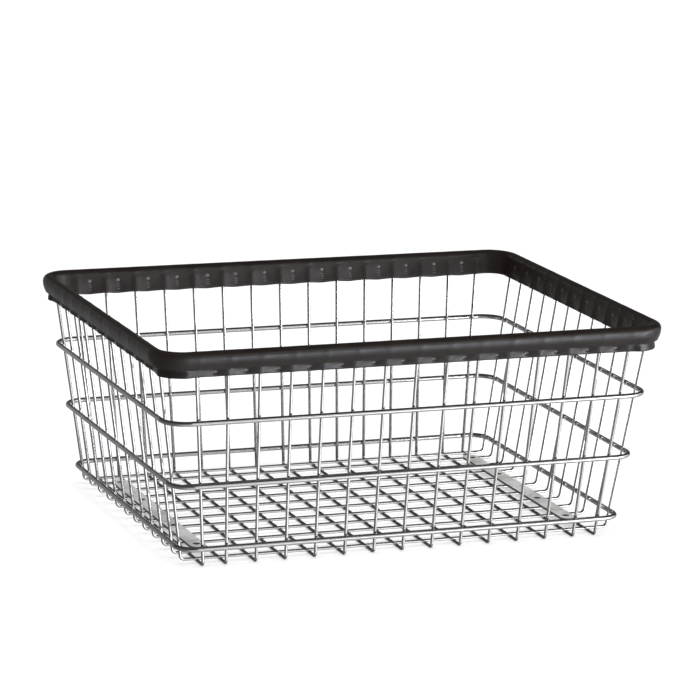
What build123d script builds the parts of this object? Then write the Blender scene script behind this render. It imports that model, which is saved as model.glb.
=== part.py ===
# Rectangular wire basket with a vinyl bumper round its rim.
# Fifteen cross wires and twelve side wires, all U-shaped, are welded into a grid. Three
# hoops go round the outside, a fourth closes the rim inside the bumper, and two drilled
# strips on the floor take the bolts that hold the basket down.
# Millimetres, +Z up, front towards -Y, left towards -X. The origin is the middle of the
# footprint, at the height of the surface that the basket stands on.
import os
from build123d import *

# Overall sizes
rim_width = 650.0        # between the middles of the rim wire, left to right
rim_depth = 500.0        # between the middles of the rim wire, front to back
rim_height = 264.0       # middle of the rim wire above the ground
base_width = 560.2       # between the left and right wall wires, carried down to the ground
base_depth = 427.4       # between the front and back wall wires, carried down to the ground

# Wire
wire_diameter = 4.0      # cross wires and side wires
hoop_diameter = 6.2      # the three hoops and the rim wire
weld_gap = 0.1           # left between welded wires
cross_bend_radius = 5.0  # middle line of a cross wire where floor meets wall
side_bend_radius = 6.5   # middle line of a side wire where floor meets wall

# Cross wires, which run front to back under the floor
cross_wire_count = 15
cross_edge_gap = 22.0    # outermost cross wire to the side wall wires, on the floor
cross_end_gap = 29.5     # outermost cross wire to its neighbour, on the floor
cross_rim_gap = 43.0     # outermost cross wire to the middle of the rim wire, at the rim

# Side wires, which run left to right on top of the cross wires
side_wire_count = 12
side_edge_gap = 16.1     # outermost side wire to the front and back wall wires, on the floor
side_end_gap = 30.2      # outermost side wire to its neighbour, on the floor
side_front_gap = 33.3    # frontmost side wire to the middle of the rim wire, at the rim
side_back_gap = 42.0     # rearmost side wire to the middle of the rim wire, at the rim

# Hoops, from the lowest up to the one inside the bumper
hoop_names = ["lower_hoop", "middle_hoop", "upper_hoop", "rim_wire"]
lower_hoop_height = 24.0
corner_start = 0.6       # straight length of a hoop past its last upright, before the corner

# Mounting strips on the floor
strip_length = 336.0
strip_width = 20.0
strip_thickness = 3.0
strip_inset = 12.1       # middle of the strip to the outermost cross wire
outer_hole_inset = 15.5   # end of the strip to its outer holes
inner_hole_inset = 104.5  # end of the strip to its inner holes
hole_diameter = 9.0

# Bumper, whose section is drawn from the middle of the rim wire, outwards and up
bumper_reach = 7.1       # rim wire middle to the outer face of the bead
bumper_rise = 9.8        # rim wire middle to the top
bead_wall = 0.55         # vinyl beside the top ends of the uprights
bead_drop = 12.5         # rim wire middle to the lower lip of the bead
bead_taper = 3.0         # how far the bead's outer face draws in towards its lip
lip_radius = 2.5         # rounding of the bead's lower lip
skirt_drop = 22.5        # rim wire middle to the lower edge of the outer skirt
skirt_wall = 1.8
inner_drop = 20.5        # rim wire middle to the lower edge of the inner skirt
inner_wall = 1.7
channel_gap = 0.3        # clearance round the wires inside the bumper

# Sizes worked out from the ones above
wire_radius = wire_diameter / 2
hoop_radius = hoop_diameter / 2
cross_height = wire_radius
side_height = cross_height + wire_diameter + weld_gap
floor_top = side_height + wire_radius + weld_gap
hoop_pitch = (rim_height - lower_hoop_height) / (len(hoop_names) - 1)
hoop_offset = wire_radius + hoop_radius + weld_gap


def leaning_offset(base_half, rim_half):
    """Level distance from a leaning upright to its hoop, and the wall's lean."""
    offset = hoop_offset
    for _ in range(4):
        lean = (rim_half - offset - base_half) / rim_height
        offset = hoop_offset * (1 + lean * lean) ** 0.5
    return offset, lean


side_offset, side_lean = leaning_offset(base_width / 2, rim_width / 2)
cross_offset, cross_lean = leaning_offset(base_depth / 2, rim_depth / 2)


def side_wall(height):
    """Distance from the middle to the side wires' uprights."""
    return base_width / 2 + side_lean * height


def cross_wall(height):
    """Distance from the middle to the cross wires' uprights."""
    return base_depth / 2 + cross_lean * height


def floor_places(wall, edge_gap, end_gap, count):
    """Places of the wires on the floor: even steps, with a narrower gap at each end."""
    outermost = wall - edge_gap
    inner_half = outermost - end_gap
    inner_count = count - 2
    inner = [inner_half * (2 * step / (inner_count - 1) - 1) for step in range(inner_count)]
    return [-outermost] + inner + [outermost]


def rim_places(half, first_gap, last_gap, count):
    """Places of the wires at the rim: even steps all the way."""
    first = first_gap - half
    last = half - last_gap
    return [first + (last - first) * step / (count - 1) for step in range(count)]


cross_floor = floor_places(base_width / 2, cross_edge_gap, cross_end_gap, cross_wire_count)
cross_rim = rim_places(rim_width / 2, cross_rim_gap, cross_rim_gap, cross_wire_count)
side_floor = floor_places(base_depth / 2, side_edge_gap, side_end_gap, side_wire_count)
side_rim = rim_places(rim_depth / 2, side_back_gap, side_front_gap, side_wire_count)


def place_at(floor, rim, height):
    """Place of an upright between its floor place and its rim place."""
    return floor + (rim - floor) * height / rim_height


def hoop_size(height):
    """Half width, half depth and corner radius of the hoop at a height."""
    half_width = side_wall(height) + side_offset
    half_depth = cross_wall(height) + cross_offset
    past_cross = half_width - place_at(cross_floor[-1], cross_rim[-1], height)
    past_side = half_depth - place_at(side_floor[-1], side_rim[-1], height)
    corner = min(past_cross, past_side) - corner_start
    return half_width, half_depth, corner


os.makedirs("parts", exist_ok=True)

# Cross wires, from left to right
for index in range(cross_wire_count):
    floor_x = cross_floor[index]
    rim_x = cross_rim[index]
    low_y = cross_wall(cross_height)
    rim_y = cross_wall(rim_height)
    with BuildPart() as cross_wire:
        with BuildLine():
            cross_path = FilletPolyline(
                (rim_x, -rim_y, rim_height),
                (floor_x, -low_y, cross_height),
                (floor_x, low_y, cross_height),
                (rim_x, rim_y, rim_height),
                radius=cross_bend_radius,
            )
        with BuildSketch(Plane(origin=cross_path @ 0, z_dir=cross_path % 0)):
            Circle(wire_radius)
        sweep()
    cross_wire.part.label = f"cross_wire_{index + 1:02d}"
    export_step(cross_wire.part, f"parts/{cross_wire.part.label}.step")

# Side wires, from the back to the front
for index in range(side_wire_count):
    floor_y = -side_floor[index]
    rim_y = -side_rim[index]
    low_x = side_wall(side_height)
    rim_x = side_wall(rim_height)
    with BuildPart() as side_wire:
        with BuildLine():
            side_path = FilletPolyline(
                (-rim_x, rim_y, rim_height),
                (-low_x, floor_y, side_height),
                (low_x, floor_y, side_height),
                (rim_x, rim_y, rim_height),
                radius=side_bend_radius,
            )
        with BuildSketch(Plane(origin=side_path @ 0, z_dir=side_path % 0)):
            Circle(wire_radius)
        sweep()
    side_wire.part.label = f"side_wire_{index + 1:02d}"
    export_step(side_wire.part, f"parts/{side_wire.part.label}.step")

# Hoops round the outside of the uprights, and the rim wire inside the bumper
for level, hoop_name in enumerate(hoop_names):
    height = lower_hoop_height + level * hoop_pitch
    half_width, half_depth, corner = hoop_size(height)
    with BuildPart() as hoop:
        with BuildSketch(Plane.XY.offset(height)) as outline:
            RectangleRounded(2 * half_width, 2 * half_depth, corner)
        path = outline.sketch.face().outer_wire()
        with BuildSketch(Plane(origin=path @ 0, z_dir=path % 0)) as section:
            Circle(hoop_radius)
        sweep(sections=section.sketch, path=path)
    hoop.part.label = hoop_name
    export_step(hoop.part, f"parts/{hoop_name}.step")

# Mounting strips on the floor, with rounded ends and four bolt holes each
strip_x = cross_floor[-1] - strip_inset
outer_hole_spacing = strip_length - 2 * outer_hole_inset
inner_hole_spacing = strip_length - 2 * inner_hole_inset
for side, strip_name in ((-1, "left_mounting_strip"), (1, "right_mounting_strip")):
    with BuildPart() as strip:
        with BuildSketch(Plane.XY.offset(floor_top)):
            with Locations((side * strip_x, 0)):
                SlotOverall(strip_length, strip_width, rotation=90)
            with Locations((side * strip_x, 0)):
                with GridLocations(0, outer_hole_spacing, 1, 2):
                    Circle(hole_diameter / 2, mode=Mode.SUBTRACT)
                with GridLocations(0, inner_hole_spacing, 1, 2):
                    Circle(hole_diameter / 2, mode=Mode.SUBTRACT)
        extrude(amount=strip_thickness)
    strip.part.label = strip_name
    export_step(strip.part, f"parts/{strip_name}.step")

# Bumper: a bead with an outer skirt and an inner skirt, hollow where the wires run
half_width, half_depth, corner = hoop_size(rim_height)
steepest_lean = max(side_lean, cross_lean)
shallowest_lean = min(side_lean, cross_lean)
upright_inside = max(side_offset, cross_offset) + wire_radius + channel_gap
upright_outside = min(side_offset, cross_offset) - wire_radius - channel_gap
inner_low = upright_inside + steepest_lean * inner_drop
upright_top = steepest_lean * wire_radius + channel_gap
top_radius = (bumper_reach + upright_inside + bead_wall) / 2
top_centre = bumper_reach - top_radius
top_level = bumper_rise - top_radius
skirt_high = upright_outside + shallowest_lean * bead_drop
skirt_low = upright_outside + shallowest_lean * skirt_drop
channel_outside = hoop_radius + channel_gap
lip_middle = bumper_reach - bead_taper - lip_radius
with BuildPart() as bumper:
    with BuildSketch(Plane.XY.offset(rim_height)) as rim_outline:
        RectangleRounded(2 * half_width, 2 * half_depth, corner)
    rim_path = rim_outline.sketch.face().outer_wire()
    outwards = Vector((rim_path @ 0).X, 0, 0)
    section_plane = Plane(origin=rim_path @ 0, x_dir=outwards, z_dir=-(rim_path % 0))
    with BuildSketch(section_plane) as section:
        with BuildLine():
            top_arc = CenterArc((top_centre, top_level), top_radius, 0, 180)
            Line(top_arc @ 1, (-inner_low - inner_wall, -inner_drop))
            Line((-inner_low - inner_wall, -inner_drop), (-inner_low, -inner_drop))
            Line((-inner_low, -inner_drop), (-upright_inside, upright_top))
            Line((-upright_inside, upright_top), (-channel_outside, channel_outside))
            Line((-channel_outside, channel_outside), (channel_outside, channel_outside))
            Line((channel_outside, channel_outside), (channel_outside, -channel_outside))
            Line((channel_outside, -channel_outside), (-skirt_high, -bead_drop))
            Line((-skirt_high, -bead_drop), (-skirt_low, -skirt_drop))
            Line((-skirt_low, -skirt_drop), (skirt_wall - skirt_low, -skirt_drop))
            Line((skirt_wall - skirt_low, -skirt_drop), (skirt_wall - skirt_high, -bead_drop))
            Line((skirt_wall - skirt_high, -bead_drop), (lip_middle, -bead_drop))
            lip = CenterArc((lip_middle, lip_radius - bead_drop), lip_radius, -90, 90)
            Line(lip @ 1, top_arc @ 0)
        make_face()
    sweep(sections=section.sketch, path=rim_path)
bumper.part.label = "bumper"
export_step(bumper.part, "parts/bumper.step")
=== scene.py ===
"""Looks of the wire basket: its finishes, welds and shaped vinyl bumper, the camera and the light."""

import math
import random

import bpy
from mathutils import Matrix, Vector


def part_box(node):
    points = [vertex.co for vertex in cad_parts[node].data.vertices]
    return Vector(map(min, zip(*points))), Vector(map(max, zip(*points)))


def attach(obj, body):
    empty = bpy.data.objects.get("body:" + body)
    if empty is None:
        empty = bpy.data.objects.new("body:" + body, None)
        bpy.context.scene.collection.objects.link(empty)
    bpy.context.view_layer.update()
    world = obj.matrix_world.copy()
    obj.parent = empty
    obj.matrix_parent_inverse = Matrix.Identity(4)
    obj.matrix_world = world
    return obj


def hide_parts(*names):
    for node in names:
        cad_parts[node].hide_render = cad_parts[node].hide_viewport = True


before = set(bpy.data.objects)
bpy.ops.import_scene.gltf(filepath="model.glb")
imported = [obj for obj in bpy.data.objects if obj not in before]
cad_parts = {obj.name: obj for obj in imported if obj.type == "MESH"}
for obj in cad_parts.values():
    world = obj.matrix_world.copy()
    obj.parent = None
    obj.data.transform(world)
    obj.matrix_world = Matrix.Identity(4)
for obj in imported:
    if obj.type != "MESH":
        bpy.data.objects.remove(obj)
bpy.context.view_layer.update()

# Names of the solids, as the basket was built
cross_names = [f"cross_wire_{number:02d}" for number in range(1, 16)]
side_names = [f"side_wire_{number:02d}" for number in range(1, 13)]
hoop_names = ["lower_hoop", "middle_hoop", "upper_hoop", "rim_wire"]
strip_names = ["left_mounting_strip", "right_mounting_strip"]
body = "root"

# Sizes in metres
wire_radius = 0.002
weld_gap = 0.0001
rim_corner = 0.0327


def hoop_middle(name):
    """Half width, half depth and height of a hoop's middle line, and the radius of its wire."""
    low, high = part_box(name)
    radius = (high.z - low.z) / 2
    return high.x - radius, high.y - radius, (high.z + low.z) / 2, radius


def upright_places(name, axis):
    """Places of a wire along its wall, on the floor and at the rim, on the axis of that wall."""
    low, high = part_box(name)
    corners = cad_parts[name].data.vertices
    on_floor = [corner.co[axis] for corner in corners if corner.co.z < low.z + wire_radius]
    at_rim = [corner.co[axis] for corner in corners if corner.co.z > high.z - wire_radius]
    return (min(on_floor) + max(on_floor)) / 2, (min(at_rim) + max(at_rim)) / 2


rim_half_width, rim_half_depth, rim_height, _ = hoop_middle("rim_wire")
base_half_width, base_half_depth, lower_height, _ = hoop_middle("lower_hoop")
rise = rim_height - lower_height
side_lean = math.atan((rim_half_width - base_half_width) / rise)
cross_lean = math.atan((rim_half_depth - base_half_depth) / rise)
cross_places = [upright_places(name, axis=0) for name in cross_names]
side_places = [upright_places(name, axis=1) for name in side_names]


# Making nodes
def link(tree, start, end):
    """Joins an output to an input."""
    tree.links.new(start, end)


def node(tree, kind, values=None, **settings):
    """A new node with its settings, and its inputs given as values or as sockets to join."""
    made = tree.nodes.new(kind)
    for name, value in settings.items():
        setattr(made, name, value)
    for key, value in (values or {}).items():
        socket = made.inputs[key]
        if isinstance(value, bpy.types.NodeSocket):
            link(tree, value, socket)
        else:
            socket.default_value = value
    return made


def number_math(tree, operation, first, second=0.0):
    """The outcome of an operation on one or two numbers."""
    return node(tree, "ShaderNodeMath", {0: first, 1: second}, operation=operation).outputs[0]


def soft_range(tree, value, start, end, low=0.0, high=1.0):
    """A value turned into a smooth change from low to high between start and end."""
    made = node(
        tree,
        "ShaderNodeMapRange",
        {"Value": value, "From Min": start, "From Max": end, "To Min": low, "To Max": high},
        interpolation_type="SMOOTHSTEP",
    )
    return made.outputs["Result"]


def mix_colours(tree, share, first, second):
    """Two colours mixed; the colour sockets of a mix come after those for numbers and vectors."""
    mixed = node(tree, "ShaderNodeMix", {"Factor": share}, data_type="RGBA")
    for index, colour in ((6, first), (7, second)):
        if isinstance(colour, bpy.types.NodeSocket):
            link(tree, colour, mixed.inputs[index])
        else:
            mixed.inputs[index].default_value = colour
    return mixed.outputs[2]


def new_group(name, kind, inputs, outputs):
    """A node group with named inputs and outputs, and the nodes that carry them."""
    tree = bpy.data.node_groups.new(name, kind)
    for label, socket_kind in inputs:
        tree.interface.new_socket(label, in_out="INPUT", socket_type=socket_kind)
    for label, socket_kind in outputs:
        tree.interface.new_socket(label, in_out="OUTPUT", socket_type=socket_kind)
    return tree, tree.nodes.new("NodeGroupInput"), tree.nodes.new("NodeGroupOutput")


# Finishes. A pair of values says where a change sets in and where it is full
cloud_detail = 3.0
cloud_roughness = 0.55
cloud_range = (0.35, 0.7)
cloud_share = 0.6
grain_detail = 2.0
grain_roughness = 0.6
grain_share = 0.4


def make_wear_and_strip_reflection():
    """Slow cloudiness and fine grain, which plating and vinyl both show; on the mounting strips the
    cloudiness is partly a painted reflection of the wires.
    """
    tree, given, made = new_group(
        "wear_and_strip_reflection",
        "ShaderNodeTree",
        [
            ("Cloud Scale", "NodeSocketFloat"),
            ("Grain Scale", "NodeSocketFloat"),
            ("Grain Stretch", "NodeSocketVector"),
            ("Smoothest", "NodeSocketFloat"),
            ("Roughest", "NodeSocketFloat"),
            ("Clean Colour", "NodeSocketColor"),
            ("Worn And Reflected Colour", "NodeSocketColor"),
        ],
        [
            ("Colour", "NodeSocketColor"),
            ("Roughness", "NodeSocketFloat"),
            ("Height", "NodeSocketFloat"),
        ],
    )
    place = node(tree, "ShaderNodeTexCoord").outputs["Object"]
    cloud = node(
        tree, "ShaderNodeTexNoise",
        {
            "Vector": place,
            "Scale": given.outputs["Cloud Scale"],
            "Detail": cloud_detail,
            "Roughness": cloud_roughness,
        },
    ).outputs["Fac"]
    stretched = node(
        tree, "ShaderNodeVectorMath",
        {0: place, 1: given.outputs["Grain Stretch"]}, operation="MULTIPLY",
    ).outputs[0]
    grain = node(
        tree, "ShaderNodeTexNoise",
        {
            "Vector": stretched,
            "Scale": given.outputs["Grain Scale"],
            "Detail": grain_detail,
            "Roughness": grain_roughness,
        },
    ).outputs["Fac"]
    patches = number_math(tree, "MULTIPLY", soft_range(tree, cloud, *cloud_range), cloud_share)
    specks = number_math(tree, "MULTIPLY", grain, grain_share)
    share = number_math(tree, "ADD", patches, specks)
    rough = node(
        tree, "ShaderNodeMapRange",
        {"Value": share, "To Min": given.outputs["Smoothest"], "To Max": given.outputs["Roughest"]},
    ).outputs["Result"]
    colour = mix_colours(tree, share, given.outputs["Clean Colour"], given.outputs["Worn And Reflected Colour"])
    link(tree, colour, made.inputs["Colour"])
    link(tree, rough, made.inputs["Roughness"])
    link(tree, grain, made.inputs["Height"])
    return tree


wear_and_strip_reflection = make_wear_and_strip_reflection()


def make_finish(name, wear, metallic, bump_share, bump_height, **shine):
    """A finish whose colour, roughness and grain come from the shared wear and painted reflection, with
    its own values.
    """
    material = bpy.data.materials.new(name)
    material.use_nodes = True
    tree = material.node_tree
    shader = tree.nodes["Principled BSDF"]
    worn = node(tree, "ShaderNodeGroup", node_tree=wear_and_strip_reflection)
    for label, value in wear.items():
        worn.inputs[label].default_value = value
    link(tree, worn.outputs["Colour"], shader.inputs["Base Color"])
    link(tree, worn.outputs["Roughness"], shader.inputs["Roughness"])
    bump = node(
        tree, "ShaderNodeBump",
        {"Strength": bump_share, "Distance": bump_height, "Height": worn.outputs["Height"]},
    )
    link(tree, bump.outputs["Normal"], shader.inputs["Normal"])
    shader.inputs["Metallic"].default_value = metallic
    for label, value in shine.items():
        shader.inputs[label].default_value = value
    return material


def tint(material, share, colour):
    """Mixes a colour into a finish where the share says."""
    tree = material.node_tree
    base_colour = tree.nodes["Principled BSDF"].inputs["Base Color"]
    plain = base_colour.links[0].from_socket
    link(tree, mix_colours(tree, share, plain, colour), base_colour)


bright_wire = make_finish(
    "bright_plated_wire",
    {
        "Cloud Scale": 38.0,
        "Grain Scale": 160.0,
        "Grain Stretch": (1.0, 1.0, 1.0),
        "Smoothest": 0.06,
        "Roughest": 0.16,
        "Clean Colour": (0.82, 0.82, 0.83, 1.0),
        "Worn And Reflected Colour": (0.68, 0.66, 0.65, 1.0),
    },
    metallic=1.0,
    bump_share=0.05,
    bump_height=0.0002,
)
# painted shade: the colour of the lowest wires and the heights below which it sets in
floor_wire_shade_colour = (0.27, 0.26, 0.25, 1.0)
floor_wire_shade_heights = (0.0046, 0.0037)


def paint_shade_on_lowest_wires(material):
    """The lowest wires, which stand on the ground, get a painted shade: their colour is darkened as if
    by the shade of the basket round them.
    """
    tree = material.node_tree
    place = node(tree, "ShaderNodeTexCoord").outputs["Object"]
    height = node(tree, "ShaderNodeSeparateXYZ", {0: place}).outputs["Z"]
    # painted shade, darker towards the ground
    tint(material, soft_range(tree, height, *floor_wire_shade_heights), floor_wire_shade_colour)


paint_shade_on_lowest_wires(bright_wire)
weld_metal = make_finish(
    "plated_weld",
    {
        "Cloud Scale": 120.0,
        "Grain Scale": 900.0,
        "Grain Stretch": (1.0, 1.0, 1.0),
        "Smoothest": 0.2,
        "Roughest": 0.42,
        "Clean Colour": (0.70, 0.70, 0.70, 1.0),
        "Worn And Reflected Colour": (0.46, 0.44, 0.42, 1.0),
    },
    metallic=1.0,
    bump_share=0.3,
    bump_height=0.0003,
)
# the strips' worn colour and slow cloudiness are partly real cloudiness of the plating and partly a
# painted reflection of the wires of the back and right walls
strip_steel = make_finish(
    "plated_strip_steel",
    {
        "Cloud Scale": 40.0,
        "Grain Scale": 420.0,
        "Grain Stretch": (3.0, 0.12, 3.0),
        "Smoothest": 0.3,
        "Roughest": 0.45,
        "Clean Colour": (0.96, 0.96, 0.95, 1.0),
        "Worn And Reflected Colour": (0.44, 0.43, 0.41, 1.0),
    },
    metallic=0.08,
    bump_share=0.15,
    bump_height=0.0002,
)
# painted shade on the upright faces of the strips and the walls of their holes
strip_edge_shade_colour = (0.11, 0.105, 0.10, 1.0)
strip_edge_shade_slopes = (0.7, 0.3)


def paint_shade_on_strip_edges(material):
    """The upright faces of the strips, at their edges and in their holes, get a painted shade, as if the
    light were kept out of them.
    """
    tree = material.node_tree
    facing = node(tree, "ShaderNodeNewGeometry").outputs["True Normal"]
    upward = node(tree, "ShaderNodeSeparateXYZ", {0: facing}).outputs["Z"]
    slope = number_math(tree, "ABSOLUTE", upward)
    tint(material, soft_range(tree, slope, *strip_edge_shade_slopes), strip_edge_shade_colour)


paint_shade_on_strip_edges(strip_steel)
vinyl = make_finish(
    "black_vinyl",
    {
        "Cloud Scale": 26.0,
        "Grain Scale": 1500.0,
        "Grain Stretch": (1.0, 1.0, 1.0),
        "Smoothest": 0.30,
        "Roughest": 0.42,
        "Clean Colour": (0.0130, 0.0080, 0.0066, 1.0),
        "Worn And Reflected Colour": (0.0200, 0.0140, 0.0118, 1.0),
    },
    metallic=0.0,
    bump_share=0.08,
    bump_height=0.0001,
    IOR=1.58,
)


def dress(solids, finish):
    """Gives named solids of the frame their finish."""
    for name in solids:
        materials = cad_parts[name].data.materials
        materials.clear()
        materials.append(finish)


dress(cross_names + side_names + hoop_names, bright_wire)
dress(strip_names, strip_steel)


# Making a piece from a tree
def point_mesh(name, points, edges, numbers, vectors):
    """A mesh of points and edges that carries named numbers and vectors for a tree to read."""
    mesh = bpy.data.meshes.new(name)
    mesh.from_pydata(points, edges, [])
    for label, values in numbers.items():
        mesh.attributes.new(label, "FLOAT", "POINT").data.foreach_set("value", values)
    for label, values in vectors.items():
        flat = [part for value in values for part in value]
        mesh.attributes.new(label, "FLOAT_VECTOR", "POINT").data.foreach_set("vector", flat)
    made = bpy.data.objects.new(name, mesh)
    bpy.context.scene.collection.objects.link(made)
    return made


def grow(base, tree, sizes):
    """Runs a tree on a base, keeps the result as a plain mesh and takes the tree off."""
    modifier = base.modifiers.new(tree.name, "NODES")
    modifier.node_group = tree
    for item in tree.interface.items_tree:
        if item.item_type == "SOCKET" and item.in_out == "INPUT" and item.name in sizes:
            modifier[item.identifier] = sizes[item.name]
    base.update_tag()
    bpy.context.view_layer.update()
    graph = bpy.context.evaluated_depsgraph_get()
    mesh = bpy.data.meshes.new_from_object(
        base.evaluated_get(graph), preserve_all_data_layers=True, depsgraph=graph
    )
    # the empty slot of the base itself goes, and its finish becomes the first
    if mesh.materials[0] is None:
        mesh.materials.pop(index=0)
    base.modifiers.clear()
    base.data = mesh
    return base


def read_number(tree, label):
    """A named number that the points carry."""
    return node(tree, "GeometryNodeInputNamedAttribute", {"Name": label}, data_type="FLOAT").outputs[0]


def read_vector(tree, label):
    """A named vector that the points carry."""
    found = node(tree, "GeometryNodeInputNamedAttribute", {"Name": label}, data_type="FLOAT_VECTOR")
    return found.outputs[0]


# Bumper section, outwards and up from the middle of the rim wire
bead_reach = 0.0071
bead_rise = 0.0098
bead_radius = 0.0076
bead_drop = 0.0125
bead_taper = 0.0030
lip_radius = 0.0027
channel_half = 0.0034
upright_inside = 0.00756
upright_outside = 0.00294
upright_top = 0.0006
outer_drop = 0.0225
outer_wall = 0.0018
outer_slope = 0.119
inner_drop = 0.0205
inner_wall = 0.0017
inner_slope = 0.15
# Steps round the section
bead_steps = 14
inner_steps = 22
outer_steps = 12
edge_steps = 3
back_steps = 3
notch_steps = 2
lip_steps = 4
face_steps = 7
# How the vinyl bulges over the uprights and is pinched together between them
ridge_width = 0.0048
ridge_height = 0.0009
pinch_depth = 0.0026
pinch_power = 3.2
pinch_middle_share = 0.55
corner_flare = 0.0042
corner_reach = 0.014
edge_dip = 0.0005
# How much of that each part of the section takes, and at which levels it sets in
face_ridge_share = 0.35
bead_inner_ridge_share = 0.7
outer_ridge_share = 0.5
ridge_soft_length = 0.008
inner_pinch_share = 0.35
inner_pinch_drop = 0.0160
inner_edge_ease = 0.3
outer_pinch_drop = 0.0158
outer_pinch_start = 0.003
outer_pinch_soft_length = 0.005
outer_edge_ease = 0.6
inner_corner_share = 0.1
outer_corner_share = 0.5
notch_reach = 0.004
notch_soft_length = 0.005
# How the bays differ from each other
pinch_spread = (0.85, 1.06)
seal_spread = (0.7, 1.2)
shift_spread = (-0.03, 0.05)
unevenness = 0.00035
lump_scale = 45.0
lump_detail = 1.0
# Points along the rim, as shares of half a bay; a stretch longer than any bay goes round a corner
half_bay_shares = [0.0, 0.09, 0.19, 0.31, 0.46, 0.62, 0.76, 0.86, 0.93]
longest_bay = 0.05
corner_steps = 22
# Seals pressed into each bay: a dot and three dashes inside, and a pad outside, each with a painted
# highlight in a paler colour
seal_width = 0.0018
seal_depth = 0.0006
inner_seal_drop = 0.0052
outer_seal_drop = 0.0170
dot_half_width = 0.0024
dot_half_height = 0.0020
dot_highlight_share = 1.0
dash_drops = (0.0097, 0.0127, 0.0154)
dash_half_width = 0.0022
dash_half_height = 0.0007
dash_highlight_share = 0.5
pad_half_width = 0.0030
pad_half_height = 0.0016
pad_highlight_share = 0.8
# painted highlight: the pale colour of the seal marks
seal_highlight_colour = (0.21, 0.205, 0.205, 1.0)
seal_fade = (1.25, 0.65)
seal_highlight_patch_scale = 260.0
seal_highlight_patch_range = (0.3, 0.6)
seal_highlight_patch_shares = (0.45, 1.0)
seal_bump_share = 0.5
side_seal_highlight_share = 0.3
side_seal_highlight_places = (0.29, 0.31)


def smooth(share):
    """A share from 0 to 1 with soft ends."""
    share = min(1.0, max(0.0, share))
    return share * share * (3 - 2 * share)


def swell(value, middle, width):
    """A rounded hump, 1 in the middle."""
    return math.exp(-(((value - middle) / width) ** 2))


def arc(centre, radius, start, end, steps):
    """Points round a centre, from one angle to another, in degrees."""
    turns = [math.radians(start + (end - start) * step / steps) for step in range(steps + 1)]
    return [(centre[0] + radius * math.cos(turn), centre[1] + radius * math.sin(turn)) for turn in turns]


def run(start, end, steps):
    """Evenly spaced points from one to another."""
    across, up = end[0] - start[0], end[1] - start[1]
    shares = [step / steps for step in range(steps + 1)]
    return [(start[0] + across * share, start[1] + up * share) for share in shares]


def section_runs():
    """The runs of the section's outline, each a part's name and its points."""
    top = (bead_reach - bead_radius, bead_rise - bead_radius)
    inner_start = (top[0] - bead_radius, top[1])
    inner_face = -(upright_inside + inner_wall + inner_slope * inner_drop)
    inner_round = inner_wall / 2
    inner_level = inner_round - inner_drop
    outer_round = outer_wall / 2
    outer_level = outer_round - outer_drop
    outer_low = -(upright_outside + outer_slope * outer_drop)
    outer_high = -(upright_outside + outer_slope * bead_drop)
    notch_start = (outer_high + outer_wall, -bead_drop)
    channel = [
        (-upright_inside, upright_top),
        (-channel_half, channel_half),
        (channel_half, channel_half),
        (channel_half, -channel_half),
        (outer_high, -bead_drop),
    ]
    lip = (bead_reach - bead_taper - lip_radius, lip_radius - bead_drop)
    # the outer face is an arc that leaves the bead upright and draws in towards the lip
    face_height = top[1] - lip[1]
    face_radius = (bead_taper ** 2 + face_height ** 2) / (2 * bead_taper)
    face_turn = math.degrees(math.asin(face_height / face_radius))
    inner_end = (-upright_inside, -upright_top)
    return [
        ("bead", arc(top, bead_radius, 0, 180, bead_steps)),
        ("inner", run(inner_start, (inner_face, inner_level), inner_steps)),
        ("inner edge", arc((inner_face + inner_round, inner_level), inner_round, 180, 360, edge_steps)),
        ("inner back", run((inner_face + inner_wall, inner_level), inner_end, back_steps)),
        ("channel", channel),
        ("outer back", run((outer_high, -bead_drop), (outer_low, outer_level), back_steps)),
        ("outer edge", arc((outer_low + outer_round, outer_level), outer_round, 180, 360, edge_steps)),
        ("outer", run((outer_low + outer_wall, outer_level), notch_start, outer_steps)),
        ("notch", run(notch_start, (lip[0], -bead_drop), notch_steps)),
        ("lip", arc(lip, lip_radius, -90, 0, lip_steps)),
        ("face", arc((bead_reach - face_radius, top[1]), face_radius, -face_turn, 0, face_steps)),
    ]


def section_values(part, outward, height):
    """How a point of the section answers to a ridge, a pinch, a corner, a seal and the edge dip."""
    drop = -height
    low_share = smooth((drop - bead_drop) / (outer_drop - bead_drop))
    ridge = pinch = corner = seal = dip = 0.0
    if part.startswith("inner"):
        past = smooth((drop - inner_pinch_drop) / (inner_drop - inner_pinch_drop))
        ridge = -smooth(0.5 + drop / ridge_soft_length)
        pinch = inner_pinch_share * smooth(drop / inner_pinch_drop) * (1 - inner_edge_ease * past)
        seal = swell(drop, inner_seal_drop, seal_width) if part == "inner" else 0.0
        dip = smooth(drop / inner_drop)
        corner = -inner_corner_share * smooth(drop / inner_drop)
    elif part.startswith("outer"):
        past = smooth((drop - outer_pinch_drop) / (outer_drop - outer_pinch_drop))
        set_in = smooth((drop - bead_drop + outer_pinch_start) / outer_pinch_soft_length)
        ridge = outer_ridge_share + (1 - outer_ridge_share) * low_share
        pinch = -set_in * (1 - outer_edge_ease * past)
        seal = -swell(drop, outer_seal_drop, seal_width) if part == "outer" else 0.0
        dip = low_share
        corner = outer_corner_share + (1 - outer_corner_share) * low_share
    elif part == "bead":
        ridge = face_ridge_share * outward / bead_radius
        if outward < 0:
            ridge = -bead_inner_ridge_share * smooth(-outward / bead_radius)
    elif part in ("lip", "face"):
        ridge = face_ridge_share
    elif part == "notch":
        corner = outer_corner_share * smooth((notch_reach - outward) / notch_soft_length)
    return ridge, pinch, corner, seal, dip


def section_points():
    """The points of the section, the part that each belongs to and how far round it lies."""
    points, labels = [], []
    for part, outline in section_runs():
        for outward, height in outline[:-1]:
            points.append((outward, height))
            labels.append(part)
    lengths = [0.0]
    for point, following in zip(points, points[1:]):
        lengths.append(lengths[-1] + math.dist(point, following))
    return points, labels, lengths


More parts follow.
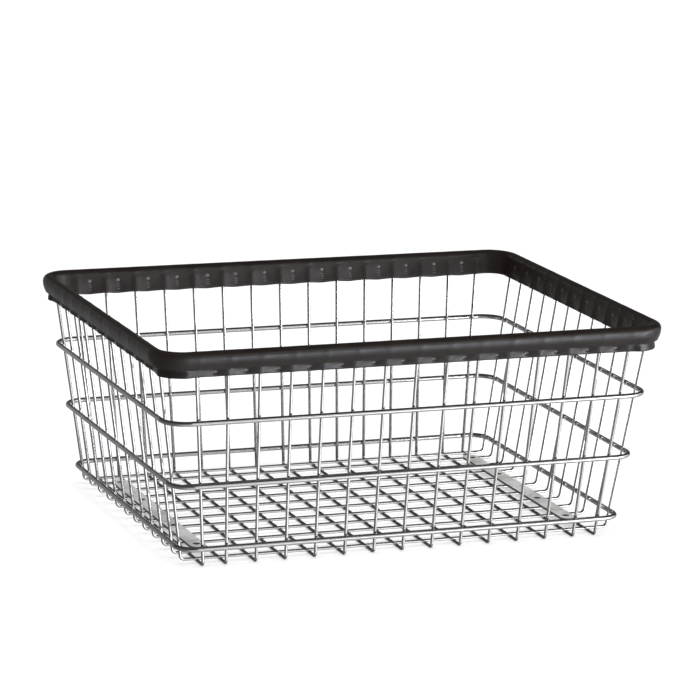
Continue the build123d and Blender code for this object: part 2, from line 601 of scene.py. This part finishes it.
def section_place(part, drop):
    """How far round the section a part comes to a level under the middle of the rim wire."""
    found = [
        (abs(drop + height), length)
        for (_, height), label, length in zip(*section_points())
        if label == part
    ]
    return min(found)[1]


def make_section():
    """The section as a closed line that carries how each point answers to the uprights and bays."""
    points, labels, lengths = section_points()
    count = len(points)
    values = [section_values(part, *point) for part, point in zip(labels, points)]
    names = ("ridge_way", "pinch_way", "corner_way", "seal_way", "dip_way")
    ways = dict(zip(names, map(list, zip(*values))))
    ways["around"] = lengths
    edges = [(index, (index + 1) % count) for index in range(count)]
    # the sweep lays the second axis of its section downwards, so the heights change sign
    flat = [(outward, -height, 0.0) for outward, height in points]
    return point_mesh("bumper_section", flat, edges, ways, {})


class RimPath:
    """The line along the middle of the rim wire, measured from its front left corner.

    Each wall is kept as its distance along the line, its start, its direction and its length.
    """

    def __init__(self):
        width, depth, corner = rim_half_width, rim_half_depth, rim_corner
        across, along = width - corner, depth - corner
        starts = [(-across, -depth), (width, -along), (across, depth), (-width, along)]
        directions = [(1, 0), (0, 1), (-1, 0), (0, -1)]
        halves = (across, along, across, along)
        self.walls = []
        self.length = 0.0
        for start, direction, half in zip(starts, directions, halves):
            self.walls.append((self.length, Vector((*start, 0)), Vector((*direction, 0)), 2 * half))
            self.length += 2 * half + math.pi / 2 * corner

    def place_at(self, distance):
        """The point at a distance along the line, and the direction out of the basket there."""
        distance %= self.length
        begin, start, direction, length = [wall for wall in self.walls if wall[0] <= distance][-1]
        outward = Vector((direction.y, -direction.x, 0))
        covered = distance - begin
        if covered <= length:
            return start + direction * covered, outward
        turn = (covered - length) / rim_corner
        centre = start + direction * length - outward * rim_corner
        bent = outward * math.cos(turn) + direction * math.sin(turn)
        return centre + bent * rim_corner, bent


def wire_distances(path):
    """How far along the rim each upright stands, at the level of the bumper's skirts."""
    share = 1 - inner_pinch_drop / rim_height
    cross = [low + (high - low) * share for low, high in cross_places]
    side = [low + (high - low) * share for low, high in side_places]
    # the path runs to the right in front, then to the back, to the left and to the front
    ways = [cross, side, [-place for place in cross], [-place for place in side]]
    distances = []
    for (begin, _, _, length), places in zip(path.walls, ways):
        distances += [begin + length / 2 + place for place in sorted(places)]
    return distances


def make_rim_line(seed):
    """The bumper's path, with what the uprights do to the vinyl at each of its points."""
    chance = random.Random(seed)
    path = RimPath()
    wires = wire_distances(path)
    second_half = [2 - share for share in reversed(half_bay_shares[1:])]
    bay_shares = [share / 2 for share in half_bay_shares + [1.0] + second_half]
    corner_shares = [step / corner_steps for step in range(corner_steps)]
    places, outwards = [], []
    values = {name: [] for name in ("ridge", "pinch", "corner", "seal", "from_middle")}
    for index, wire in enumerate(wires):
        following = wires[index + 1] if index + 1 < len(wires) else wires[0] + path.length
        bay = following - wire
        is_corner = bay > longest_bay
        pinch_share = 0.0 if is_corner else chance.uniform(*pinch_spread)
        seal_share = 0.0 if is_corner else chance.uniform(*seal_spread)
        shift = chance.uniform(*shift_spread)
        for share in corner_shares if is_corner else bay_shares:
            nearest = min(share, 1 - share) * bay
            spot, outward = path.place_at(wire + share * bay)
            places.append((spot.x, spot.y, rim_height))
            outwards.append(tuple(outward))
            moved = share - (shift + pinch_middle_share - 0.5) * math.sin(math.pi * share)
            from_middle = (moved - 0.5) * bay
            values["ridge"].append(swell(nearest, 0.0, ridge_width))
            values["pinch"].append(pinch_share * max(0.0, math.sin(math.pi * moved)) ** pinch_power)
            values["corner"].append(smooth(nearest / corner_reach) if is_corner else 0.0)
            values["seal"].append(seal_share * swell(from_middle, 0.0, seal_width))
            # a corner bears no marks, so its points count as far from the middle of a bay
            values["from_middle"].append(bay if is_corner else from_middle)
    edges = [(index, (index + 1) % len(places)) for index in range(len(places))]
    return point_mesh("bumper_vinyl", places, edges, values, {"outwards": outwards})


def make_bumper_tree():
    """Sweeps the section along the rim and pushes and pinches the vinyl at each upright and bay."""
    tree, given, made = new_group(
        "bumper_from_section",
        "GeometryNodeTree",
        [
            ("Geometry", "NodeSocketGeometry"),
            ("Section", "NodeSocketObject"),
            ("Finish", "NodeSocketMaterial"),
            ("Ridge Height", "NodeSocketFloat"),
            ("Pinch Depth", "NodeSocketFloat"),
            ("Corner Flare", "NodeSocketFloat"),
            ("Seal Depth", "NodeSocketFloat"),
            ("Edge Dip", "NodeSocketFloat"),
            ("Unevenness", "NodeSocketFloat"),
            ("Seed", "NodeSocketFloat"),
        ],
        [("Geometry", "NodeSocketGeometry")],
    )
    section = node(tree, "GeometryNodeObjectInfo", {"Object": given.outputs["Section"]})
    profile = node(tree, "GeometryNodeMeshToCurve", {"Mesh": section.outputs["Geometry"]})
    path = node(tree, "GeometryNodeMeshToCurve", {"Mesh": given.outputs["Geometry"]})
    level = node(tree, "GeometryNodeSetCurveNormal", {"Curve": path.outputs[0]}, mode="Z_UP")
    swept = node(
        tree, "GeometryNodeCurveToMesh",
        {"Curve": level.outputs[0], "Profile Curve": profile.outputs[0]},
    )
    pairs = [
        ("ridge", "ridge_way", "Ridge Height"),
        ("pinch", "pinch_way", "Pinch Depth"),
        ("corner", "corner_way", "Corner Flare"),
        ("seal", "seal_way", "Seal Depth"),
    ]
    push = 0.0
    for on_path, on_section, size in pairs:
        share = number_math(tree, "MULTIPLY", read_number(tree, on_path), read_number(tree, on_section))
        answer = number_math(tree, "MULTIPLY", share, given.outputs[size])
        push = number_math(tree, "ADD", push, answer)
    sink = number_math(tree, "MULTIPLY", read_number(tree, "pinch"), read_number(tree, "dip_way"))
    sink = number_math(tree, "MULTIPLY", sink, given.outputs["Edge Dip"])
    outward = node(
        tree, "ShaderNodeVectorMath",
        {0: read_vector(tree, "outwards"), "Scale": push}, operation="SCALE",
    ).outputs[0]
    down = node(
        tree, "ShaderNodeCombineXYZ", {"Z": number_math(tree, "MULTIPLY", sink, -1.0)}
    ).outputs[0]
    shift = node(tree, "ShaderNodeVectorMath", {0: outward, 1: down}, operation="ADD").outputs[0]
    shaped = node(tree, "GeometryNodeSetPosition", {"Geometry": swept.outputs[0], "Offset": shift})
    lumps = node(
        tree, "ShaderNodeTexNoise",
        {"W": given.outputs["Seed"], "Scale": lump_scale, "Detail": lump_detail},
        noise_dimensions="4D",
    ).outputs["Fac"]
    # the noise runs from 0 to 1, so half is taken off for lumps that go both ways
    lump = number_math(tree, "SUBTRACT", lumps, 0.5)
    lump = number_math(tree, "MULTIPLY", lump, given.outputs["Unevenness"])
    facing = node(tree, "GeometryNodeInputNormal").outputs[0]
    offset = node(
        tree, "ShaderNodeVectorMath",
        {0: facing, "Scale": lump}, operation="SCALE",
    ).outputs[0]
    uneven = node(tree, "GeometryNodeSetPosition", {"Geometry": shaped.outputs[0], "Offset": offset})
    map_place = node(
        tree, "ShaderNodeCombineXYZ",
        {"X": read_number(tree, "from_middle"), "Y": read_number(tree, "around")},
    ).outputs[0]
    mapped = node(
        tree, "GeometryNodeStoreNamedAttribute",
        {"Geometry": uneven.outputs[0], "Name": "UVMap", "Value": map_place},
        data_type="FLOAT2", domain="CORNER",
    )
    # a sweep against the way of its section comes out with its faces inwards
    faced = node(tree, "GeometryNodeFlipFaces", {"Mesh": mapped.outputs[0]})
    smooth_faces = node(tree, "GeometryNodeSetShadeSmooth", {"Geometry": faced.outputs[0]})
    whole = node(tree, "GeometryNodeRealizeInstances", {"Geometry": smooth_faces.outputs[0]})
    finished = node(
        tree, "GeometryNodeSetMaterial",
        {"Geometry": whole.outputs[0], "Material": given.outputs["Finish"]},
    )
    link(tree, finished.outputs[0], made.inputs["Geometry"])
    return tree


def make_seal_mark():
    """A soft oval mark at the middle of a bay, at a place round the section."""
    tree, given, made = new_group(
        "seal_mark",
        "ShaderNodeTree",
        [
            ("Place", "NodeSocketFloat"),
            ("Half Width", "NodeSocketFloat"),
            ("Half Height", "NodeSocketFloat"),
        ],
        [("Mark", "NodeSocketFloat")],
    )
    spot = node(tree, "ShaderNodeUVMap", uv_map="UVMap").outputs["UV"]
    parts = node(tree, "ShaderNodeSeparateXYZ", {0: spot})
    across = number_math(tree, "DIVIDE", parts.outputs["X"], given.outputs["Half Width"])
    off = number_math(tree, "SUBTRACT", parts.outputs["Y"], given.outputs["Place"])
    along = number_math(tree, "DIVIDE", off, given.outputs["Half Height"])
    reach = node(tree, "ShaderNodeCombineXYZ", {"X": across, "Y": along}).outputs[0]
    away = node(tree, "ShaderNodeVectorMath", {0: reach}, operation="LENGTH").outputs["Value"]
    link(tree, soft_range(tree, away, *seal_fade), made.inputs["Mark"])
    return tree


def sink_seals_and_paint_highlights(material):
    """Where the vinyl was pressed and sealed in each bay it is a little sunk, and a paler colour paints
    a highlight on it.
    """
    tree = material.node_tree
    shader = tree.nodes["Principled BSDF"]
    seal_mark = make_seal_mark()
    marks = [("inner", inner_seal_drop, dot_half_width, dot_half_height, dot_highlight_share)]
    marks += [("inner", drop, dash_half_width, dash_half_height, dash_highlight_share) for drop in dash_drops]
    marks += [("outer", outer_seal_drop, pad_half_width, pad_half_height, pad_highlight_share)]
    total = 0.0
    for part, drop, half_width, half_height, paleness in marks:
        sizes = {
            "Place": section_place(part, drop),
            "Half Width": half_width,
            "Half Height": half_height,
        }
        mark = node(tree, "ShaderNodeGroup", sizes, node_tree=seal_mark).outputs["Mark"]
        total = number_math(tree, "MAXIMUM", total, number_math(tree, "MULTIPLY", mark, paleness))
    place = node(tree, "ShaderNodeTexCoord").outputs["Object"]
    noise = node(tree, "ShaderNodeTexNoise", {"Vector": place, "Scale": seal_highlight_patch_scale}).outputs["Fac"]
    patches = soft_range(tree, noise, *seal_highlight_patch_range, *seal_highlight_patch_shares)
    share = number_math(tree, "MULTIPLY", total, patches)
    # the painted highlights are kept faint on the left and right walls, where the light does not fall,
    # so their seals stay nearly black
    across = node(tree, "ShaderNodeSeparateXYZ", {0: place}).outputs["X"]
    sideways = number_math(tree, "ABSOLUTE", across)
    kept = soft_range(tree, sideways, *side_seal_highlight_places, 1.0, side_seal_highlight_share)
    # painted highlight: the seal marks are mixed towards a pale colour
    tint(material, number_math(tree, "MULTIPLY", share, kept), seal_highlight_colour)
    sunk = node(
        tree, "ShaderNodeBump",
        {
            "Strength": seal_bump_share,
            "Distance": seal_depth,
            "Height": number_math(tree, "MULTIPLY", total, -1.0),
            "Normal": shader.inputs["Normal"].links[0].from_socket,
        },
    )
    link(tree, sunk.outputs["Normal"], shader.inputs["Normal"])


sink_seals_and_paint_highlights(vinyl)
bumper_section = make_section()
bumper = grow(
    make_rim_line(seed=11),
    make_bumper_tree(),
    {
        "Section": bumper_section,
        "Finish": vinyl,
        "Ridge Height": ridge_height,
        "Pinch Depth": pinch_depth,
        "Corner Flare": corner_flare,
        "Seal Depth": seal_depth,
        "Edge Dip": edge_dip,
        "Unevenness": unevenness,
        "Seed": 4.0,
    },
)
bpy.data.objects.remove(bumper_section)
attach(bumper, body)
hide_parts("bumper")


# Welds
weld_width = 0.0034
weld_depth = 0.0013
weld_spread = (0.85, 1.15)
nugget_segments = 10
nugget_rings = 6


def weld_spots():
    """Middles of the welds, and the direction in which each pair of wires was pressed together."""
    spots, directions = [], []
    for name in hoop_names:
        half_width, half_depth, height, radius = hoop_middle(name)
        share = height / rim_height
        for low, high in cross_places:
            place = low + (high - low) * share
            for side in (-1, 1):
                inward = Vector((0, -side * math.cos(cross_lean), math.sin(cross_lean)))
                spots.append(Vector((place, side * half_depth, height)) + inward * radius)
                directions.append(inward)
        for low, high in side_places:
            place = low + (high - low) * share
            for side in (-1, 1):
                inward = Vector((-side * math.cos(side_lean), 0, math.sin(side_lean)))
                spots.append(Vector((side * half_width, place, height)) + inward * radius)
                directions.append(inward)
    up = Vector((0, 0, 1))
    floor_joint = 2 * wire_radius + weld_gap / 2
    for across, _ in cross_places:
        for along, _ in side_places:
            spots.append(Vector((across, along, floor_joint)))
            directions.append(up)
    for name in strip_names:
        low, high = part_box(name)
        for along, _ in side_places:
            if low.y < along < high.y:
                spots.append(Vector(((low.x + high.x) / 2, along, low.z - weld_gap / 2)))
                directions.append(up)
    return spots, directions


def make_weld_tree():
    """Puts a flattened nugget at each spot, turned to the direction of its weld."""
    tree, given, made = new_group(
        "weld_nuggets",
        "GeometryNodeTree",
        [
            ("Geometry", "NodeSocketGeometry"),
            ("Width", "NodeSocketFloat"),
            ("Depth", "NodeSocketFloat"),
            ("Seed", "NodeSocketInt"),
            ("Finish", "NodeSocketMaterial"),
        ],
        [("Geometry", "NodeSocketGeometry")],
    )
    size = node(
        tree, "ShaderNodeCombineXYZ",
        {"X": given.outputs["Width"], "Y": given.outputs["Width"], "Z": given.outputs["Depth"]},
    ).outputs[0]
    # the sockets for a single number come after those for a vector
    least, most = weld_spread
    chance = node(
        tree, "FunctionNodeRandomValue",
        {2: least, 3: most, "Seed": given.outputs["Seed"]}, data_type="FLOAT",
    )
    varied = node(
        tree, "ShaderNodeVectorMath",
        {0: size, "Scale": chance.outputs[1]}, operation="SCALE",
    ).outputs[0]
    # a ball 1 across, which the scale makes as wide and as deep as a weld
    ball = node(
        tree, "GeometryNodeMeshUVSphere",
        {"Segments": nugget_segments, "Rings": nugget_rings, "Radius": 0.5},
    )
    turned = node(
        tree, "FunctionNodeAlignRotationToVector",
        {"Vector": read_vector(tree, "direction")}, axis="Z",
    )
    nuggets = node(
        tree, "GeometryNodeInstanceOnPoints",
        {
            "Points": given.outputs["Geometry"],
            "Instance": ball.outputs[0],
            "Rotation": turned.outputs[0],
            "Scale": varied,
        },
    )
    rounded = node(tree, "GeometryNodeSetShadeSmooth", {"Geometry": nuggets.outputs[0]})
    whole = node(tree, "GeometryNodeRealizeInstances", {"Geometry": rounded.outputs[0]})
    finished = node(
        tree, "GeometryNodeSetMaterial",
        {"Geometry": whole.outputs[0], "Material": given.outputs["Finish"]},
    )
    link(tree, finished.outputs[0], made.inputs["Geometry"])
    return tree


spots, directions = weld_spots()
welds = grow(
    point_mesh("weld_nuggets", spots, [], {}, {"direction": directions}),
    make_weld_tree(),
    {"Width": weld_width, "Depth": weld_depth, "Seed": 3, "Finish": weld_metal},
)
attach(welds, body)


# White of the floor's glow and of the room round it
white = (1.0, 1.0, 1.0, 1.0)

# Floor
floor_half = 6.0
floor_tone = 0.86
floor_roughness = 0.9
glow_distances = (0.8, 3.5)
glow_strengths = (0.42, 0.50)


def make_floor():
    """A white floor that glows a little where the camera sees it, as paper in a photo does."""
    mesh = bpy.data.meshes.new("floor")
    corners = [(-1, -1), (1, -1), (1, 1), (-1, 1)]
    mesh.from_pydata([(x * floor_half, y * floor_half, 0) for x, y in corners], [], [(0, 1, 2, 3)])
    floor = bpy.data.objects.new("floor", mesh)
    bpy.context.scene.collection.objects.link(floor)
    material = bpy.data.materials.new("pale_floor")
    material.use_nodes = True
    tree = material.node_tree
    shader = tree.nodes["Principled BSDF"]
    shader.inputs["Base Color"].default_value = (floor_tone, floor_tone, floor_tone, 1.0)
    shader.inputs["Roughness"].default_value = floor_roughness
    shader.inputs["Specular IOR Level"].default_value = 0.0
    path = node(tree, "ShaderNodeLightPath")
    place = node(tree, "ShaderNodeTexCoord").outputs["Object"]
    away = node(tree, "ShaderNodeVectorMath", {0: place}, operation="LENGTH").outputs["Value"]
    paleness = soft_range(tree, away, *glow_distances, *glow_strengths)
    seen = number_math(tree, "MULTIPLY", path.outputs["Is Camera Ray"], paleness)
    glow = node(tree, "ShaderNodeEmission", {"Color": white, "Strength": seen})
    both = node(tree, "ShaderNodeAddShader", {0: shader.outputs[0], 1: glow.outputs[0]})
    link(tree, both.outputs[0], tree.nodes["Material Output"].inputs["Surface"])
    mesh.materials.append(material)
    floor.visible_glossy = False


# Camera, whose place, turn and lens were fitted to the photo
camera_place = (-1.65177, -4.25710, 1.22556)
camera_heading = math.radians(21.2917)
camera_pitch = math.radians(12.5888)
camera_roll = math.radians(1.5182)
camera_lens = 190.0756
camera_film = 36.0
camera_sight = 60.0


def make_camera():
    """The camera, pitched down to the basket from the front left."""
    camera = bpy.data.objects.new("camera", bpy.data.cameras.new("camera"))
    bpy.context.scene.collection.objects.link(camera)
    turn = (
        Matrix.Rotation(-camera_heading, 4, "Z")
        @ Matrix.Rotation(math.pi / 2 - camera_pitch, 4, "X")
        @ Matrix.Rotation(camera_roll, 4, "Z")
    )
    camera.matrix_world = Matrix.Translation(camera_place) @ turn
    camera.data.lens = camera_lens
    camera.data.sensor_width = camera_film
    camera.data.clip_end = camera_sight
    bpy.context.scene.camera = camera


# Lamps
def make_lamp(name, azimuth, elevation, distance, width, height, power, in_reflections=True):
    """A soft box aimed at the basket. Azimuth 0 is in front of it, and grows to the right."""
    turn, lift = math.radians(azimuth), math.radians(elevation)
    level = math.cos(lift)
    towards = Vector((math.sin(turn) * level, -math.cos(turn) * level, math.sin(lift)))
    aim = Vector((0, 0, rim_height / 2))
    lamp = bpy.data.objects.new(name, bpy.data.lights.new(name, "AREA"))
    bpy.context.scene.collection.objects.link(lamp)
    lamp.data.shape = "RECTANGLE"
    lamp.data.size = width
    lamp.data.size_y = height
    lamp.data.energy = power
    lamp.location = aim + towards * distance
    lamp.rotation_mode = "QUATERNION"
    lamp.rotation_quaternion = towards.to_track_quat("Z", "Y")
    lamp.visible_glossy = in_reflections


# The room that the wires and the vinyl reflect. A direction is given by its height, by how far
# it points ahead of the camera and by how far to the camera's right, each from -1 to 1. A pair
# says where a light sets in and where it is full, or how strong it is at those two places.
room_light = 0.62
room_heights = (0.12, 0.32)
room_strengths = (0.12, 0.05)
ground_rights = (-0.6, 0.2)
ground_strengths = (0.14, 0.50)
ground_heights = (0.02, -0.05)

panel_above_light = 0.6
panel_above_tops = (0.68, 0.46)
panel_above_bottoms = (0.12, 0.22)
panel_below_light = 1.1
panel_below_bottoms = (-0.66, -0.45)
panel_below_tops = (-0.04, -0.12)
panel_rights = (0.35, 0.6)
panel_aheads = (0.4, 0.1)

front_light = 0.9
front_rights = (0.4, 0.52)
front_aheads = (-0.3, -0.5)

window_light = 9.0
window_colour = (0.86, 0.94, 1.08, 1.0)
window_tops = (-0.09, -0.19)
window_bottoms = (-0.53, -0.43)
window_rights = (0.59, 0.78)
window_aheads = (-0.42, -0.56)

flank_light = 1.5
flank_bottoms = (0.04, 0.08)
flank_tops = (0.34, 0.24)
flank_rights = (0.78, 0.9)

left_wall_light = 0.28
left_wall_near_rights = (-0.25, -0.45)
left_wall_far_rights = (-0.74, -0.66)
left_wall_aheads = (0.35, 0.6)
left_wall_tops = (0.45, 0.2)

paper_lefts = (-0.45, -0.3)
paper_rights = (0.4, 0.25)
paper_aheads = (0.8, 0.93)
paper_tops = (0.06, -0.02)
paper_bottoms = (-0.36, -0.26)


def make_world():
    """White for the camera, even for the lighting, and in reflections a dark room with lights."""
    world = bpy.data.worlds.new("studio")
    bpy.context.scene.world = world
    world.use_nodes = True
    tree = world.node_tree
    background = tree.nodes["Background"]
    direction = node(tree, "ShaderNodeTexCoord").outputs["Generated"]

    def along(axis):
        turned = node(tree, "ShaderNodeVectorMath", {0: direction, 1: axis}, operation="DOT_PRODUCT")
        return turned.outputs["Value"]

    def where(value, pair):
        return soft_range(tree, value, *pair)

    def combine(operation, values):
        total = values[0]
        for value in values[1:]:
            total = number_math(tree, operation, total, value)
        return total

    def times(*values):
        return combine("MULTIPLY", values)

    def brightest(*values):
        return combine("MAXIMUM", values)

    height = node(tree, "ShaderNodeSeparateXYZ", {0: direction}).outputs["Z"]
    ahead = along((math.sin(camera_heading), math.cos(camera_heading), 0.0))
    right = along((math.cos(camera_heading), -math.sin(camera_heading), 0.0))
    # the dark room, and the floor in it, which is paler to the right
    room = soft_range(tree, height, *room_heights, *room_strengths)
    ground_shade = soft_range(tree, right, *ground_rights, *ground_strengths)
    ground = times(ground_shade, where(height, ground_heights))
    # a pale panel at the right, above and below eye level, whose upper part is stronger in front
    panel_above = times(where(height, panel_above_tops), where(height, panel_above_bottoms))
    panel_below = times(where(height, panel_below_bottoms), where(height, panel_below_tops))
    panel_turn = times(where(right, panel_rights), where(ahead, panel_aheads))
    upper_part = times(panel_above, panel_above_light)
    lower_part = times(panel_below, panel_below_light)
    panel = times(brightest(upper_part, lower_part), panel_turn)
    front_turn = times(where(right, front_rights), where(ahead, front_aheads))
    front = times(brightest(panel_above, panel_below), front_turn, front_light)
    # a bright window low at the front right, and a light at the right flank
    window_band = times(where(height, window_tops), where(height, window_bottoms))
    window_turn = times(where(right, window_rights), where(ahead, window_aheads))
    window_share = times(window_band, window_turn)
    window = times(window_share, window_light)
    flank_band = times(where(height, flank_bottoms), where(height, flank_tops))
    flank = times(flank_band, where(right, flank_rights), flank_light)
    # a dim wall at the left, and the white paper behind the basket
    left_turn = times(where(right, left_wall_near_rights), where(right, left_wall_far_rights))
    left_band = times(where(ahead, left_wall_aheads), where(height, left_wall_tops))
    left_wall = times(left_turn, left_band, left_wall_light)
    paper_turn = times(where(ahead, paper_aheads), where(right, paper_lefts), where(right, paper_rights))
    paper = times(paper_turn, where(height, paper_tops), where(height, paper_bottoms))
    reflected = brightest(room, ground, panel, front, window, flank, left_wall, paper)

    path = node(tree, "ShaderNodeLightPath")
    glossy = path.outputs["Is Glossy Ray"]
    seen = brightest(path.outputs["Is Camera Ray"], path.outputs["Is Transmission Ray"])
    # a mix of numbers takes its share at socket 0 and the numbers at 2 and 3
    level = node(tree, "ShaderNodeMix", {0: glossy, 2: room_light, 3: reflected}).outputs[0]
    strength = node(tree, "ShaderNodeMix", {0: seen, 2: level, 3: 1.0}).outputs[0]
    colour = mix_colours(tree, times(glossy, window_share), white, window_colour)
    link(tree, colour, background.inputs["Color"])
    link(tree, strength, background.inputs["Strength"])


make_floor()
make_camera()
make_world()
make_lamp(
    "overhead_box",
    azimuth=-15.0,
    elevation=72.0,
    distance=2.6,
    width=2.2,
    height=1.6,
    power=26.0,
    in_reflections=False,
)
make_lamp(
    "right_box",
    azimuth=44.0,
    elevation=3.0,
    distance=2.1,
    width=1.2,
    height=0.3,
    power=9.0,
)
bpy.context.scene.view_settings.view_transform = "Standard"
